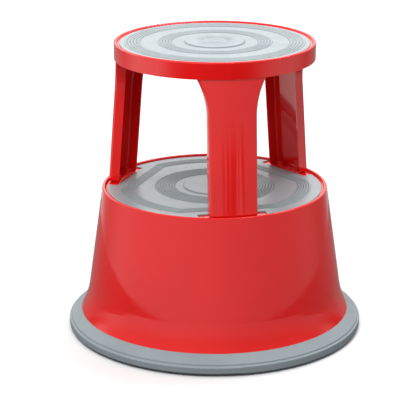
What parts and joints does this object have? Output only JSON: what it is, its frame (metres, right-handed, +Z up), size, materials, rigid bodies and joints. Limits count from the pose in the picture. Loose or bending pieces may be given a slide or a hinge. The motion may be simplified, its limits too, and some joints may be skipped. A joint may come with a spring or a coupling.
{
  "type": "kick step stool",
  "caption": "Round two-step kick stool: flared steel drum base on sprung swivel castors, channel pillars and a round upper tread, ribbed rubber mats.",
  "frame": {"origin": "on the floor under the centre of the stool", "axes": "+Z up along the stool's axis; the front pillar stands towards -Y"},
  "size_m": [0.435, 0.435, 0.43],
  "materials": {
    "red_enamel": "glossy red stove enamel on pressed steel",
    "bumper_rubber": "satin grey moulded rubber",
    "tread_rubber": "ribbed grey moulded rubber",
    "zinc_plate": "bright zinc plating",
    "bright_steel": "turned and lightly oiled steel",
    "spring_steel": "drawn spring steel",
    "nylon": "moulded natural nylon",
    "tyre_rubber": "dark grey soft rubber"
  },
  "bodies": {
    "stool": {"base_drum": "red_enamel", "base_bumper": "bumper_rubber", "top_pan": "red_enamel", "top_mat": "tread_rubber", "lower_mat": "tread_rubber", "pillar_front": "red_enamel", "pillar_right": "red_enamel", "pillar_left": "red_enamel", "pillar_foot_bolts": "red_enamel", "pillar_foot_washers": "red_enamel", "deck_nuts": "zinc_plate", "top_weld_studs": "zinc_plate", "top_nuts": "zinc_plate", "castor_1_bracket": "red_enamel", "castor_1_spring": "spring_steel", "castor_2_bracket": "red_enamel", "castor_2_spring": "spring_steel", "castor_3_bracket": "red_enamel", "castor_3_spring": "spring_steel"},
    "castor_1_carrier": {"castor_1_spring_seat": "zinc_plate"},
    "castor_1_swivel": {"castor_1_stem": "bright_steel", "castor_1_fork": "zinc_plate", "castor_1_axle": "bright_steel", "castor_1_clip": "spring_steel"},
    "castor_1_roller": {"castor_1_wheel": "nylon", "castor_1_tyre": "tyre_rubber"},
    "castor_2_carrier": {"castor_2_spring_seat": "zinc_plate"},
    "castor_2_swivel": {"castor_2_stem": "bright_steel", "castor_2_fork": "zinc_plate", "castor_2_axle": "bright_steel", "castor_2_clip": "spring_steel"},
    "castor_2_roller": {"castor_2_wheel": "nylon", "castor_2_tyre": "tyre_rubber"},
    "castor_3_carrier": {"castor_3_spring_seat": "zinc_plate"},
    "castor_3_swivel": {"castor_3_stem": "bright_steel", "castor_3_fork": "zinc_plate", "castor_3_axle": "bright_steel", "castor_3_clip": "spring_steel"},
    "castor_3_roller": {"castor_3_wheel": "nylon", "castor_3_tyre": "tyre_rubber"}
  },
  "joints": [
    {"name": "castor_1_push", "type": "slide", "parent": "stool", "child": "castor_1_carrier", "axis": [0, 0, 1], "range_m": [0, 0.008], "stiffness_N_per_m": 8000, "springref_m": -0.005, "deforming": ["castor_1_spring"]},
    {"name": "castor_1_swivel_turn", "type": "hinge", "parent": "castor_1_carrier", "child": "castor_1_swivel", "pos_m": [0.13252, -0.07651, 0.0447], "axis": [0, 0, 1], "continuous": true},
    {"name": "castor_1_roll", "type": "hinge", "parent": "castor_1_swivel", "child": "castor_1_roller", "pos_m": [0.13852, -0.06612, 0.019], "axis": [-0.866, 0.5, 0], "continuous": true},
    {"name": "castor_2_push", "type": "slide", "parent": "stool", "child": "castor_2_carrier", "axis": [0, 0, 1], "range_m": [0, 0.008], "stiffness_N_per_m": 8000, "springref_m": -0.005, "deforming": ["castor_2_spring"]},
    {"name": "castor_2_swivel_turn", "type": "hinge", "parent": "castor_2_carrier", "child": "castor_2_swivel", "pos_m": [0, 0.15302, 0.0447], "axis": [0, 0, 1], "continuous": true},
    {"name": "castor_2_roll", "type": "hinge", "parent": "castor_2_swivel", "child": "castor_2_roller", "pos_m": [-0.012, 0.15302, 0.019], "axis": [0, -1, 0], "continuous": true},
    {"name": "castor_3_push", "type": "slide", "parent": "stool", "child": "castor_3_carrier", "axis": [0, 0, 1], "range_m": [0, 0.008], "stiffness_N_per_m": 8000, "springref_m": -0.005, "deforming": ["castor_3_spring"]},
    {"name": "castor_3_swivel_turn", "type": "hinge", "parent": "castor_3_carrier", "child": "castor_3_swivel", "pos_m": [-0.13252, -0.07651, 0.0447], "axis": [0, 0, 1], "continuous": true},
    {"name": "castor_3_roll", "type": "hinge", "parent": "castor_3_swivel", "child": "castor_3_roller", "pos_m": [-0.12652, -0.0869, 0.019], "axis": [0.866, 0.5, 0], "continuous": true}
  ]
}
